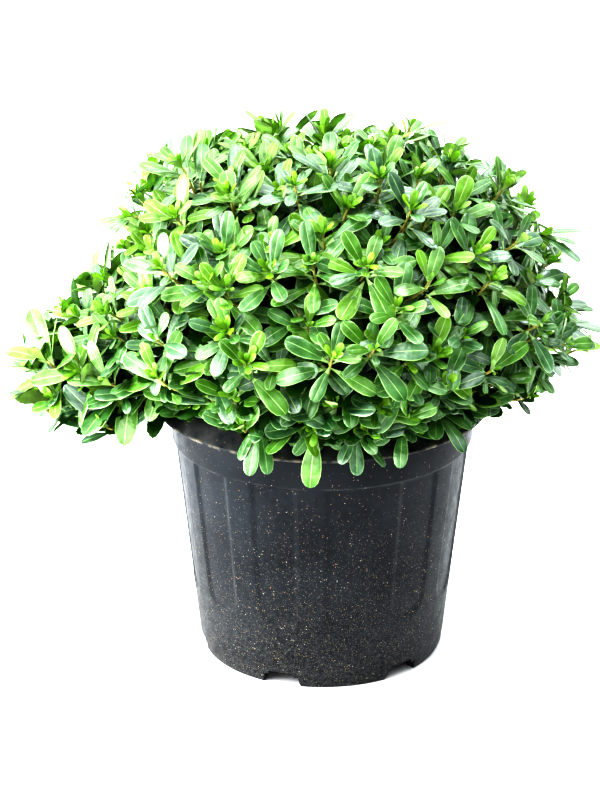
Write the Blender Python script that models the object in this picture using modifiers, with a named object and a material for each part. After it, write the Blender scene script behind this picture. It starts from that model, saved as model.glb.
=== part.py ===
"""Dwarf Japanese pittosporum in a grower's pot: pot, soil, stem, boughs and masses of whorled leaves.

Metres, +Z up. The pot stands on z = 0 with its axis on the Z axis, and -Y is the side that faces
the viewer. Azimuths turn from that side (0 degrees) towards +X (90 degrees).
"""

import itertools
import math
import random

import bmesh
import bpy
from mathutils import Matrix, Vector

CLEARANCE = 0.0003

# Pot, a moulded container about 34 cm across its flange
TURNED_STEPS = 40
POT_HEIGHT = 0.281
LIP_RADIUS = 0.153
FLANGE_RADIUS = 0.170
FLANGE_EDGE_HEIGHT = 0.2675
FLANGE_THICKNESS = 0.0024
BAND_RADIUS = 0.152
BAND_FOOT_HEIGHT = 0.228
WALL_TOP_RADIUS = 0.149
WALL_FOOT_RADIUS = 0.125
WALL_THICKNESS = 0.0042
FOOT_RADIUS = 0.121
FOOT_HEIGHT = 0.015
FOOT_RING_WIDTH = 0.009
FLOOR_UNDERSIDE = 0.014
FLOOR_THICKNESS = 0.003
CENTRE_PAD_RADIUS = 0.025

# Twelve shallow flutes run down the wall, and six drain notches break the foot ring
FLUTE_COUNT = 12
FLUTE_PHASE_DEG = 10.5
FLUTE_WIDTH_DEG = 17.0
FLUTE_DEPTH = 0.002
FLUTE_TOP = 0.2265
FLUTE_BOTTOM = 0.082
NOTCH_COUNT = 6
NOTCH_PHASE_DEG = 40.5
NOTCH_TOP_WIDTH = 0.034
NOTCH_FLARE = 1.2
NOTCH_HEIGHT = 0.0145

# Soil
SOIL_HEIGHT = 0.2460
SOIL_EDGE_DROP = 0.004
SOIL_FLAT_RADIUS = 0.045

# Stem: height above the soil, and radius there, from the root flare to the fork
STEM_LEAN = Vector((-0.05, 0.03, 1.0))
STEM_RINGS = (
    (0.0, 0.0215), (0.005, 0.0175), (0.013, 0.0155), (0.035, 0.0145), (0.060, 0.0135), (0.074, 0.0115),
)
BOUGH_BASE_RADIUS = 0.0048
BOUGH_TIP_RADIUS = 0.0031
BOUGH_POINTS = 6
BOUGH_SHARE = 0.40

# Crown: the heart is the point that every mass points away from
HEART = Vector((-0.004, 0.0, 0.282))
# It is a dome of about this reach from the heart, let out or drawn in by broad lobes:
# name, azimuth, elevation, breadth in azimuth and in elevation (degrees), change of reach at the middle
DOME_REACH = 0.290
LOBES = (
    ("left_spread", 272, 2, 18, 9, 0.042),
    ("left_notch", 264, 31, 24, 11, -0.080),
    ("left_shoulder", 240, 51, 14, 12, 0.008),
    ("right_spread", 88, 11, 12, 4, 0.020),
    ("right_hollow", 92, 24, 30, 9, -0.012),
    ("right_shoulder", 100, 55, 22, 14, 0.012),
    ("right_undercut", 86, -14, 26, 17, -0.100),
    ("flat_top", 180, 74, 34, 28, -0.024),
    ("front_left_undercut", 317, -10, 26, 25, -0.138),
    ("front_undercut", 0, -10, 26, 24, -0.120),
    ("front_right_undercut", 43, -10, 27, 24, -0.105),
    ("back_undercut", 180, -12, 60, 22, -0.060),
)
REACH_SLACK = 0.008
MASS_GAP = 0.0012
POT_MARGIN = 0.004
# name, azimuth and elevation in degrees, height that its leaves stay above, height above the soil
# where its bough leaves the stem, degrees between its shoots
MASSES = (
    ("top", 0, 90, 0.40, 0.074, 11.2),
    ("upper_front", 6, 49, 0.30, 0.056, 11.2),
    ("upper_right", 80, 48, 0.30, 0.058, 11.2),
    ("upper_back_right", 152, 49, 0.30, 0.056, 11.6),
    ("upper_back_left", 226, 50, 0.30, 0.058, 11.6),
    ("upper_left", 296, 48, 0.30, 0.056, 11.2),
    ("low_front", 2, 14, 0.266, 0.022, 10.6),
    ("low_front_right", 49, 14, 0.270, 0.040, 10.8),
    ("low_right", 96, 15, 0.270, 0.022, 10.8),
    ("low_back_right", 143, 14, 0.262, 0.040, 11.6),
    ("low_back_left", 200, 14, 0.260, 0.022, 11.6),
    ("low_left", 270, 6, 0.246, 0.040, 10.2),
    ("low_front_left", 319, 14, 0.270, 0.022, 10.4),
)

# Shoots with a place of their own: the furthest sprays at the left and right, and those that nod
# over the rim and under the crown's left side. Mass, azimuth in degrees, radius and height of the tip,
# degrees that it points below level
PLACED_FLOOR = 0.254
PLACED_LEAF_SHARE = 0.80
PLACED_SHOOTS = (
    ("low_left", 271, 0.292, 0.286, -6),
    ("low_left", 277, 0.262, 0.272, 10),
    ("low_left", 285, 0.224, 0.274, 20),
    ("low_left", 290, 0.190, 0.284, 20),
    ("low_right", 90, 0.248, 0.336, -12),
    ("low_front", 346, 0.186, 0.302, 30),
    ("low_front", 359, 0.188, 0.300, 35),
    ("low_front", 11, 0.188, 0.304, 15),
    ("low_front", 21, 0.188, 0.305, 15),
    ("low_front_right", 31, 0.188, 0.303, 15),
    ("low_front_right", 42, 0.190, 0.310, 0),
)

# Shoots and leaves: each shoot ends in a whorl, the way this shrub's leaves crowd at the tips
SHOOT_SEED = 11
SHOOT_TRIES = 60
SHOOT_FROM_WALL_DEG = 4.0
SHOOT_CLEAR_OF_FLOOR = 0.008
SHOOT_RISE = 0.30
STEM_TOP_SHARE = 0.70
CORE_CENTRE_SHARE = 0.62
CORE_INNER_SHARE = 0.43
CORE_OUTER_SHARE = 0.80
CORE_GAP = 0.0025
CORE_ROUGHNESS = 0.07
CORE_BASE = POT_HEIGHT + 0.006
TWIG_BASE_RADIUS = 0.0026
TWIG_TIP_RADIUS = 0.0016
LEAVES_PER_SHOOT = 5
LEAF_LENGTH = 0.060
LEAF_WIDTH_SHARE = 0.46
# A leaf that would leave its mass's space is lifted or shortened: length share, lift in degrees
LEAF_FITTINGS = (
    (1.0, 0.0), (1.0, 20.0), (1.0, -15.0), (0.85, 10.0),
    (0.85, 32.0), (0.70, 0.0), (0.70, 32.0), (0.55, 20.0),
)
LEAF_RIDGE_SHARE = 0.035
LEAF_DROOP_SHARE = 0.07
WHORL_DEPTH = 0.013
LEAF_SINK = 0.0018
LEAF_SAMPLES = 10
TWIG_SAMPLES = 24
WHORL_OPENING_DEG = (80.0, 52.0)
WHORL_DEPTH_SHARE = 0.60
LEAF_STEP = math.tau * 2.0 / LEAVES_PER_SHOOT


def clear_scene():
    for old in list(bpy.data.objects):
        bpy.data.objects.remove(old)


def make_collection(name):
    collection = bpy.data.collections.new(name)
    bpy.context.scene.collection.children.link(collection)
    return collection


def make_material(name, colour, roughness, metallic=0.0):
    material = bpy.data.materials.new(name)
    material.use_nodes = True
    shader = material.node_tree.nodes["Principled BSDF"]
    shader.inputs["Base Color"].default_value = (*colour, 1.0)
    shader.inputs["Roughness"].default_value = roughness
    shader.inputs["Metallic"].default_value = metallic
    return material


def add_object(name, data, collection, material=None):
    new = bpy.data.objects.new(name, data)
    collection.objects.link(new)
    if material:
        data.materials.append(material)
    return new


def object_from_bmesh(name, shape, collection, material=None):
    mesh = bpy.data.meshes.new(name)
    shape.to_mesh(mesh)
    shape.free()
    return add_object(name, mesh, collection, material)


def hide_as_cutter(cutter):
    cutter.hide_render = True
    cutter.display_type = "WIRE"


def apply_modifiers(owner):
    """Puts the object's evaluated mesh in place of its mesh and modifiers, or of its curve."""
    bpy.context.view_layer.update()
    evaluated = owner.evaluated_get(bpy.context.evaluated_depsgraph_get())
    mesh = bpy.data.meshes.new_from_object(evaluated)
    if owner.type == "MESH":
        owner.modifiers.clear()
        owner.data = mesh
        return owner
    shape = bmesh.new()
    shape.from_mesh(mesh)
    bmesh.ops.remove_doubles(shape, verts=shape.verts, dist=1e-6)
    shape.to_mesh(mesh)
    shape.free()
    solid = bpy.data.objects.new(owner.name, mesh)
    solid.matrix_world = owner.matrix_world.copy()
    for collection in owner.users_collection:
        collection.objects.link(solid)
    name = owner.name
    bpy.data.objects.remove(owner)
    solid.name = name
    return solid


# Turned pieces

def turned(name, profile, collection, material=None, sweep=math.tau, steps=TURNED_STEPS):
    """A profile of (radius, height) points turned about Z. It runs down its outer side."""
    mesh = bpy.data.meshes.new(name)
    points = [(radius, 0.0, height) for radius, height in profile]
    edges = [(i, i + 1) for i in range(len(points) - 1)]
    mesh.from_pydata(points, edges, [])
    piece = add_object(name, mesh, collection, material)
    screw = piece.modifiers.new("turn", "SCREW")
    screw.axis = "Z"
    screw.angle = sweep
    screw.steps = steps
    screw.render_steps = steps
    screw.use_merge_vertices = True
    screw.merge_threshold = 0.00001
    screw.use_smooth_shade = True
    return piece


def wall_radius(height):
    """Radius of the pot's outer wall, a plain cone between the foot and the band."""
    share = (height - FOOT_HEIGHT) / (BAND_FOOT_HEIGHT - FOOT_HEIGHT)
    return WALL_FOOT_RADIUS + share * (WALL_TOP_RADIUS - WALL_FOOT_RADIUS)


def inner_radius(height):
    """Radius of the pot's inner face: the wall's cone, then the wider band."""
    if height <= BAND_FOOT_HEIGHT:
        return wall_radius(height) - WALL_THICKNESS
    return BAND_RADIUS - WALL_THICKNESS


def pot_top(radius):
    """Height of the pot's uppermost surface at a radius, or None outside its flange."""
    if radius <= LIP_RADIUS:
        return POT_HEIGHT
    if radius <= FLANGE_RADIUS:
        share = (radius - LIP_RADIUS) / (FLANGE_RADIUS - LIP_RADIUS)
        return POT_HEIGHT + share * (FLANGE_EDGE_HEIGHT - POT_HEIGHT)
    return None


def pot_profile():
    floor_top = FLOOR_UNDERSIDE + FLOOR_THICKNESS
    band_inner = BAND_RADIUS - WALL_THICKNESS
    flange_root = POT_HEIGHT - 2.0 * FLANGE_THICKNESS
    return (
        (0.0, floor_top),
        (inner_radius(floor_top), floor_top),
        (inner_radius(BAND_FOOT_HEIGHT), BAND_FOOT_HEIGHT),
        (band_inner, BAND_FOOT_HEIGHT + WALL_THICKNESS),
        (band_inner, POT_HEIGHT - FLANGE_THICKNESS),
        (band_inner + 0.0015, POT_HEIGHT),
        (LIP_RADIUS, POT_HEIGHT),
        (FLANGE_RADIUS, FLANGE_EDGE_HEIGHT),
        (FLANGE_RADIUS, FLANGE_EDGE_HEIGHT - FLANGE_THICKNESS),
        (BAND_RADIUS, flange_root),
        (BAND_RADIUS, BAND_FOOT_HEIGHT + 0.0012),
        (BAND_RADIUS - 0.0008, BAND_FOOT_HEIGHT),
        (WALL_TOP_RADIUS, BAND_FOOT_HEIGHT),
        (WALL_FOOT_RADIUS, FOOT_HEIGHT),
        (FOOT_RADIUS + 0.0025, 0.0045),
        (FOOT_RADIUS, 0.0),
        (FOOT_RADIUS - FOOT_RING_WIDTH, 0.0),
        (FOOT_RADIUS - FOOT_RING_WIDTH - 0.001, FLOOR_UNDERSIDE),
        (CENTRE_PAD_RADIUS + 0.001, FLOOR_UNDERSIDE),
        (CENTRE_PAD_RADIUS, 0.0),
        (0.0, 0.0),
    )


def flute_cutter(index, collection):
    """A thick curved strip whose inner face lies one flute's depth inside the wall."""
    cut_thickness = 0.008
    ends = (FLUTE_TOP, FLUTE_BOTTOM + 0.010, FLUTE_BOTTOM)
    depths = (FLUTE_DEPTH, FLUTE_DEPTH, 0.0)
    profile = [(wall_radius(height) - depth, height) for height, depth in zip(ends, depths)]
    strip = turned(f"flute_cutter_{index:02d}", profile, collection,
                   sweep=math.radians(FLUTE_WIDTH_DEG), steps=4)
    thicken = strip.modifiers.new("thicken", "SOLIDIFY")
    thicken.thickness = cut_thickness
    thicken.offset = 1.0
    centre = FLUTE_PHASE_DEG + index * 360.0 / FLUTE_COUNT - 90.0
    strip.rotation_euler.z = math.radians(centre - FLUTE_WIDTH_DEG / 2.0)
    hide_as_cutter(strip)


def notch_cutter(index, collection):
    """A block that takes a drain notch out of the foot ring, wider at the ground than above."""
    shape = bmesh.new()
    bmesh.ops.create_cube(shape, size=1.0)
    below_ground = 0.004
    height = NOTCH_HEIGHT + below_ground
    for corner in shape.verts:
        flare = NOTCH_FLARE if corner.co.z < 0.0 else 1.0
        corner.co.x *= NOTCH_TOP_WIDTH * flare
        corner.co.y = corner.co.y * 0.030 - FOOT_RADIUS
        corner.co.z = corner.co.z * height + NOTCH_HEIGHT - height / 2.0
    block = object_from_bmesh(f"notch_cutter_{index}", shape, collection)
    block.rotation_euler.z = math.radians(NOTCH_PHASE_DEG + index * 360.0 / NOTCH_COUNT)
    hide_as_cutter(block)


def build_pot(parts, material):
    cutters = make_collection("pot_cutters")
    for index in range(FLUTE_COUNT):
        flute_cutter(index, cutters)
    for index in range(NOTCH_COUNT):
        notch_cutter(index, cutters)
    pot = turned("pot", pot_profile(), parts, material)
    cut = pot.modifiers.new("flutes_and_notches", "BOOLEAN")
    cut.operation = "DIFFERENCE"
    cut.operand_type = "COLLECTION"
    cut.collection = cutters


def build_soil(parts, material):
    edge_height = SOIL_HEIGHT - SOIL_EDGE_DROP
    floor = FLOOR_UNDERSIDE + FLOOR_THICKNESS + CLEARANCE
    step = BAND_FOOT_HEIGHT + WALL_THICKNESS
    profile = (
        (0.0, SOIL_HEIGHT),
        (SOIL_FLAT_RADIUS, SOIL_HEIGHT),
        (0.11, SOIL_HEIGHT - SOIL_EDGE_DROP / 3.0),
        (inner_radius(edge_height) - CLEARANCE, edge_height),
        (inner_radius(edge_height) - CLEARANCE, step),
        (inner_radius(BAND_FOOT_HEIGHT) - CLEARANCE, BAND_FOOT_HEIGHT),
        (inner_radius(floor) - CLEARANCE, floor),
        (0.0, floor),
    )
    turned("soil", profile, parts, material)


# Stem and boughs

def limb(name, points, radii, collection, material=None, sides_level=1):
    """One tapering limb: a poly curve with a round bevel and filled caps."""
    curve = bpy.data.curves.new(name, "CURVE")
    curve.dimensions = "3D"
    curve.bevel_depth = 1.0
    curve.bevel_resolution = sides_level
    curve.use_fill_caps = True
    spline = curve.splines.new("POLY")
    spline.points.add(len(points) - 1)
    for slot, point, radius in zip(spline.points, points, radii):
        slot.co = (*point, 1.0)
        slot.radius = radius
    return add_object(name, curve, collection, material)


def stem_axis(height):
    """Point of the stem's axis at a height above the soil."""
    foot = Vector((0.0, 0.0, SOIL_HEIGHT + CLEARANCE))
    upright = min(height, STEM_RINGS[1][0])
    leaning = height - upright
    return foot + Vector((0.0, 0.0, upright)) + STEM_LEAN * leaning


def build_stem(parts, cutters, material):
    """The stem itself, and a slightly fatter copy that trims each bough's foot to fit it."""
    points = [stem_axis(height) for height, _ in STEM_RINGS]
    radii = [radius for _, radius in STEM_RINGS]
    limb("stem", points, radii, parts, material, sides_level=3)
    points[-1] = points[-1] + STEM_LEAN * CLEARANCE
    cutter = limb("stem_cutter", points, [radius + CLEARANCE for radius in radii], cutters, sides_level=3)
    cutter = apply_modifiers(cutter)
    hide_as_cutter(cutter)
    return cutter


def build_bough(mass, parts, cutter, material):
    """A bough bends out of the stem and ends where its mass of leaves begins."""
    foot = stem_axis(mass.bough_height)
    level = Vector((mass.direction.x, mass.direction.y, 0.0))
    out = (level.normalized() + mass.direction * 0.9).normalized() if level.length > 0.1 else mass.direction
    tip = mass.bough_tip
    reach = (tip - foot).length
    bend = foot + out * reach * 0.5
    points = []
    radii = []
    for step in range(BOUGH_POINTS):
        share = step / (BOUGH_POINTS - 1)
        points.append(foot.lerp(bend, share).lerp(bend.lerp(tip, share), share))
        radii.append(BOUGH_BASE_RADIUS + share * (BOUGH_TIP_RADIUS - BOUGH_BASE_RADIUS))
    mass.tip_direction = (points[-1] - points[-2]).normalized()
    bough = apply_modifiers(limb(f"bough_{mass.name}", points, radii, parts, material))
    trim = bough.modifiers.new("fit_to_stem", "BOOLEAN")
    trim.operation = "DIFFERENCE"
    trim.object = cutter


# Crown

def towards(azimuth_deg, elevation_deg):
    azimuth = math.radians(azimuth_deg)
    elevation = math.radians(elevation_deg)
    level = math.cos(elevation)
    return Vector((math.sin(azimuth) * level, -math.cos(azimuth) * level, math.sin(elevation)))


def crown_reach(direction):
    """How far the crown's leaf tips reach from the heart in a direction."""
    azimuth = math.degrees(math.atan2(direction.x, -direction.y))
    elevation = math.degrees(math.asin(max(-1.0, min(1.0, direction.z))))
    reach = DOME_REACH
    for _, lobe_azimuth, lobe_elevation, breadth, height, change in LOBES:
        turn = (azimuth - lobe_azimuth + 180.0) % 360.0 - 180.0
        across = turn * math.cos(math.radians(elevation)) / breadth
        up = (elevation - lobe_elevation) / height
        reach += change * math.exp(-across * across - up * up)
    return reach


class Mass:
    """One mass of foliage: a cone-shaped space round its own direction from the heart."""

    def __init__(self, name, azimuth, elevation, floor, bough_height, shoot_spacing_deg):
        self.name = name
        self.direction = towards(azimuth, elevation)
        self.reach = crown_reach(self.direction)
        self.floor = floor
        self.bough_height = bough_height
        self.shoot_spacing = math.radians(shoot_spacing_deg)
        self.bough_tip = HEART + self.direction * self.reach * BOUGH_SHARE
        self.tip_direction = self.direction
        self.shoots = []
        self.walls = []

    def holds(self, point, gap=MASS_GAP, floor=None):
        """True if the point is in this mass's space, clear of its neighbours' and of the pot."""
        offset = point - HEART
        if point.z < (floor or self.floor) or any(offset.dot(wall) < gap for wall in self.walls):
            return False
        surface = pot_top(math.hypot(point.x, point.y) - POT_MARGIN)
        return surface is None or point.z > surface + POT_MARGIN


def make_masses():
    masses = [Mass(*row) for row in MASSES]
    for mass in masses:
        others = [other for other in masses if other is not mass]
        mass.walls = [(mass.direction - other.direction).normalized() for other in others]
    return masses


def scatter_shoots(mass):
    """Spreads shoot directions evenly over a mass: each is the furthest from the rest of many tries."""
    chance = random.Random(f"shoots {SHOOT_SEED} {mass.name}")
    margin = math.sin(math.radians(SHOOT_FROM_WALL_DEG))
    while True:
        best = None
        widest = mass.shoot_spacing
        for _ in range(SHOOT_TRIES):
            spread = Vector((chance.gauss(0.0, 1.0), chance.gauss(0.0, 1.0), chance.gauss(0.0, 1.0)))
            direction = (mass.direction + spread * 0.35).normalized()
            if any(direction.dot(wall) < margin for wall in mass.walls):
                continue
            tip = HEART + direction * crown_reach(direction)
            if tip.z < mass.floor + SHOOT_CLEAR_OF_FLOOR:
                continue
            nearest = min((direction.angle(shoot) for shoot in mass.shoots), default=math.pi)
            if nearest > widest:
                best = direction
                widest = nearest
        if best is None:
            return
        mass.shoots.append(best)


def three_sided_limb(points, radii):
    """A tapering limb of three sides, as a closed bmesh. Its rings follow on without a twist."""
    shape = bmesh.new()
    rings = []
    side = (points[1] - points[0]).orthogonal()
    for index, (point, radius) in enumerate(zip(points, radii)):
        before = points[max(index - 1, 0)]
        after = points[min(index + 1, len(points) - 1)]
        along = (after - before).normalized()
        side = (side - along * side.dot(along)).normalized()
        across = along.cross(side)
        turns = [index * math.tau / 3.0 for index in range(3)]
        corners = [side * math.cos(turn) + across * math.sin(turn) for turn in turns]
        rings.append([shape.verts.new(point + corner * radius) for corner in corners])
    shape.faces.new(reversed(rings[0]))
    shape.faces.new(rings[-1])
    for low, high in zip(rings, rings[1:]):
        for side in range(3):
            after = (side + 1) % 3
            shape.faces.new((low[side], low[after], high[after], high[side]))
    bmesh.ops.recalc_face_normals(shape, faces=shape.faces)
    return shape


def leaf_points(base, along, face, length):
    """Corners of one leaf: its root, four round its obovate blade, and the ridge of its midrib."""
    across = along.cross(face).normalized()
    half = length * LEAF_WIDTH_SHARE / 2.0
    droop = length * LEAF_DROOP_SHARE
    outline = (
        (0.0, 0.0, 0.0),
        (0.60, half, 0.0),
        (0.96, half * 0.55, -droop),
        (0.96, -half * 0.55, -droop),
        (0.60, -half, 0.0),
        (0.50, 0.0, length * LEAF_RIDGE_SHARE),
    )
    return [base + along * (share * length) + across * side + face * rise for share, side, rise in outline]


def leaf_shape(points):
    """The leaf as a closed solid of eight faces: five over the ridge and three below."""
    root, right, tip_right, tip_left, left, ridge = range(6)
    faces = (
        (root, ridge, right), (right, ridge, tip_right), (tip_right, ridge, tip_left),
        (tip_left, ridge, left), (left, ridge, root),
        (root, right, left), (right, tip_right, left), (tip_right, tip_left, left),
    )
    shape = bmesh.new()
    corners = [shape.verts.new(point) for point in points]
    for face in faces:
        shape.faces.new([corners[index] for index in face])
    bmesh.ops.recalc_face_normals(shape, faces=shape.faces)
    return shape


def within_reach(point):
    offset = point - HEART
    return offset.length < crown_reach(offset.normalized()) + REACH_SLACK


def keeps_to_space(points, mass, floor=None):
    """True if a leaf keeps to its mass's space along every line between its corners."""
    for first, second in itertools.combinations(points, 2):
        for step in range(LEAF_SAMPLES + 1):
            if not mass.holds(first.lerp(second, step / LEAF_SAMPLES), floor=floor):
                return False
    return True


def whorl_leaves(tip, axis, fits, chance, size=1.0):
    """Leaves set spirally round the end of a shoot, the outer ones opened widest."""
    side = axis.orthogonal().normalized()
    turn = chance.uniform(0.0, math.tau)
    wide, narrow = WHORL_OPENING_DEG
    shapes = []
    for index in range(LEAVES_PER_SHOOT):
        share = index / (LEAVES_PER_SHOOT - 1)
        open_by = wide + share * (narrow - wide) + chance.uniform(-6.0, 6.0)
        outward = Matrix.Rotation(turn + index * LEAF_STEP, 3, axis) @ side
        base = tip - axis * (WHORL_DEPTH * (1.0 - share) + LEAF_SINK) - outward * LEAF_SINK * 0.5
        full_length = size * LEAF_LENGTH * chance.uniform(0.88, 1.06)
        for shorter, lift in LEAF_FITTINGS:
            opening = math.radians(open_by - lift)
            along = axis * math.cos(opening) + outward * math.sin(opening)
            face = axis * math.sin(opening) - outward * math.cos(opening)
            points = leaf_points(base, along, face, full_length * shorter)
            if fits(points):
                shapes.append(leaf_shape(points))
                break
    return shapes


def placed_shoots(mass, fork, chance):
    """Twigs that arch out of the fork to their own places, each with a whorl of smaller leaves."""

    def fits(points):
        return keeps_to_space(points, mass, PLACED_FLOOR)

    shapes = []
    for name, azimuth, radius, height, nod_deg in PLACED_SHOOTS:
        if name != mass.name:
            continue
        tip = towards(azimuth, 0.0) * radius + Vector((0.0, 0.0, height))
        axis = towards(azimuth, -nod_deg)
        shapes.append(twig_shape(fork, tip - towards(azimuth, 0.0) * LEAF_LENGTH * 0.5, tip))
        shapes.extend(whorl_leaves(tip, axis, fits, chance, PLACED_LEAF_SHARE))
    return shapes


def twig_shape(fork, bend, tip):
    middle_radius = (TWIG_BASE_RADIUS + TWIG_TIP_RADIUS) / 2.0
    return three_sided_limb((fork, bend, tip), (TWIG_BASE_RADIUS, middle_radius, TWIG_TIP_RADIUS))


def core_shape(mass, chance):
    """The dense heart of a mass: a faceted ball let out to fill the inner part of its space."""
    centre = HEART + mass.direction * mass.reach * CORE_CENTRE_SHARE
    centre.z = max(centre.z, CORE_BASE + 0.012)
    nearest = mass.reach * CORE_INNER_SHARE

    def fits(point):
        offset = point - HEART
        if point.z < CORE_BASE or offset.dot(mass.direction) < nearest:
            return False
        if any(offset.dot(wall) < CORE_GAP for wall in mass.walls):
            return False
        return offset.length < CORE_OUTER_SHARE * crown_reach(offset.normalized())

    shape = bmesh.new()
    bmesh.ops.create_icosphere(shape, subdivisions=1, radius=1.0)
    for corner in shape.verts:
        ray = corner.co.normalized()
        near = 0.0
        far = mass.reach
        for _ in range(14):
            middle = (near + far) / 2.0
            if fits(centre + ray * middle):
                near = middle
            else:
                far = middle
        corner.co = centre + ray * near * (1.0 - chance.uniform(0.0, CORE_ROUGHNESS))
    return shape


def grow_mass(mass, parts, material):
    """Fuses a mass's stem, twigs, core and leaves into one solid with a Boolean union."""
    chance = random.Random(f"{SHOOT_SEED} {mass.name}")

    def fits(points):
        return all(within_reach(corner) for corner in points[2:4]) and keeps_to_space(points, mass)

    start = mass.bough_tip + mass.tip_direction * CLEARANCE
    top = HEART + mass.direction * mass.reach * STEM_TOP_SHARE
    knee = start + mass.tip_direction * (top - start).length * 0.3
    stem_radii = (BOUGH_TIP_RADIUS, BOUGH_TIP_RADIUS * 0.95, TWIG_TIP_RADIUS)
    joined = make_collection(f"joined_{mass.name}")
    shapes = [core_shape(mass, chance)]
    for direction in mass.shoots:
        away = direction.angle(mass.direction) / math.radians(40.0)
        fork = knee.lerp(top, max(0.15, 0.85 - 0.6 * away))
        axis = (direction + Vector((0.0, 0.0, SHOOT_RISE))).normalized()
        outer = HEART + direction * crown_reach(direction)
        tip = outer - axis * LEAF_LENGTH * WHORL_DEPTH_SHARE
        bend = tip - axis * LEAF_LENGTH * 0.5
        along_twig = [fork.lerp(bend, step / TWIG_SAMPLES) for step in range(2, TWIG_SAMPLES + 1)]
        along_twig.append(tip)
        if not all(mass.holds(point, MASS_GAP + TWIG_BASE_RADIUS) for point in along_twig):
            continue
        shapes.append(twig_shape(fork, bend, tip))
        shapes.extend(whorl_leaves(tip, axis, fits, chance))
    shapes.extend(placed_shoots(mass, knee.lerp(top, 0.5), chance))
    for index, shape in enumerate(shapes):
        object_from_bmesh(f"piece_{mass.name}_{index:03d}", shape, joined)
    body = object_from_bmesh(f"foliage_{mass.name}", three_sided_limb((start, knee, top), stem_radii),
                             parts, material)
    union = body.modifiers.new("fuse", "BOOLEAN")
    union.operation = "UNION"
    union.operand_type = "COLLECTION"
    union.collection = joined
    union.solver = "MANIFOLD"
    apply_modifiers(body)
    for piece in list(joined.objects):
        bpy.data.objects.remove(piece)
    bpy.data.collections.remove(joined)
    keep_outer_shell(body)


def keep_outer_shell(body):
    """Drops loose scraps, and fills hollows that the union sealed, by keeping the largest shell."""
    shape = bmesh.new()
    shape.from_mesh(body.data)
    unseen = set(shape.faces)
    shells = []
    while unseen:
        shell = [unseen.pop()]
        for face in shell:
            sound_edges = [edge for edge in face.edges if len(edge.link_faces) == 2]
            for neighbour in {other for edge in sound_edges for other in edge.link_faces}:
                if neighbour in unseen:
                    unseen.discard(neighbour)
                    shell.append(neighbour)
        shells.append(shell)
    largest = max(shells, key=len)
    scraps = [face for shell in shells if shell is not largest for face in shell]
    bmesh.ops.delete(shape, geom=scraps, context="FACES")
    shape.to_mesh(body.data)
    shape.free()


def main():
    clear_scene()
    parts = make_collection("potted_pittosporum")
    plastic = make_material("pot_plastic", (0.022, 0.024, 0.027), 0.45)
    earth = make_material("soil", (0.035, 0.022, 0.014), 0.95)
    bark = make_material("bark", (0.20, 0.145, 0.10), 0.85)
    leaf = make_material("leaf", (0.13, 0.32, 0.07), 0.38)
    build_pot(parts, plastic)
    build_soil(parts, earth)
    cutters = make_collection("stem_cutters")
    stem_cutter = build_stem(parts, cutters, bark)
    masses = make_masses()
    for mass in masses:
        scatter_shoots(mass)
        build_bough(mass, parts, stem_cutter, bark)
        grow_mass(mass, parts, leaf)


main()
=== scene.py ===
"""Looks of the potted dwarf pittosporum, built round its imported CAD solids.

Metres, +Z up, -Y towards the viewer. Azimuths turn from that side (0 degrees) towards +X.
"""
import functools
import math
import random

import bmesh
import bpy
import numpy as np
from mathutils import Matrix, Vector, noise


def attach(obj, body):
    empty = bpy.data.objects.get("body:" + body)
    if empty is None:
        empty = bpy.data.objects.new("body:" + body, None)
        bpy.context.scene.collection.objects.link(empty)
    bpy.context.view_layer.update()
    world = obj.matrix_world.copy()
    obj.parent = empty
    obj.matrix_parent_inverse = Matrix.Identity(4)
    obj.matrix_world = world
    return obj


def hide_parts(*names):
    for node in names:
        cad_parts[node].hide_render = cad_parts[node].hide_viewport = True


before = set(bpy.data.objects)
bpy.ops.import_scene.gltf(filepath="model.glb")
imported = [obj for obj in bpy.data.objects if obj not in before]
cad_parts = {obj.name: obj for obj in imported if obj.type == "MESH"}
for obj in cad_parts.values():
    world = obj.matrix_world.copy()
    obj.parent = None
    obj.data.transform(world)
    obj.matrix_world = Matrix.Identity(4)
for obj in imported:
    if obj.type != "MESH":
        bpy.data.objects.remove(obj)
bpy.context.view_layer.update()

# Pot
POT_COLUMNS = 360
POT_HEIGHT = 0.281
LIP_RADIUS = 0.153
FLANGE_RADIUS = 0.170
FLANGE_EDGE_HEIGHT = 0.2675
FLANGE_THICKNESS = 0.0024
BAND_RADIUS = 0.152
BAND_FOOT_HEIGHT = 0.228
WALL_TOP_RADIUS = 0.149
WALL_FOOT_RADIUS = 0.125
WALL_THICKNESS = 0.0042
FOOT_RADIUS = 0.121
FOOT_HEIGHT = 0.015
FOOT_RING_WIDTH = 0.009
FLOOR_UNDERSIDE = 0.014
FLOOR_THICKNESS = 0.003
CENTRE_PAD_RADIUS = 0.025
FLUTE_COUNT = 12
FLUTE_PHASE_DEG = 10.5
FLUTE_WIDTH_DEG = 17.5
FLUTE_DEPTH = 0.0019
FLUTE_BOTTOM = 0.070
FLUTE_EDGE_DEG = 1.1
WALL_ROWS = 72
NOTCH_COUNT = 6
NOTCH_PHASE_DEG = 40.5
NOTCH_TOP_WIDTH = 0.034
NOTCH_FLARE = 1.2
NOTCH_HEIGHT = 0.0145

# Soil
SOIL_HEIGHT = 0.2460
SOIL_RADIUS = 0.1475
CHIP_COUNT = 420

# Stem and boughs
STEM_LEAN = Vector((-0.05, 0.03, 1.0))
STEM_RINGS = ((0.0, 0.0215), (0.005, 0.0175), (0.013, 0.0155), (0.035, 0.0145), (0.060, 0.0135), (0.074, 0.0115))
BOUGH_BASE_RADIUS = 0.0048
BOUGH_TIP_RADIUS = 0.0031
BOUGH_SHARE = 0.40

# Crown
HEART = Vector((-0.004, 0.0, 0.282))
DOME_REACH = 0.290
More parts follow.
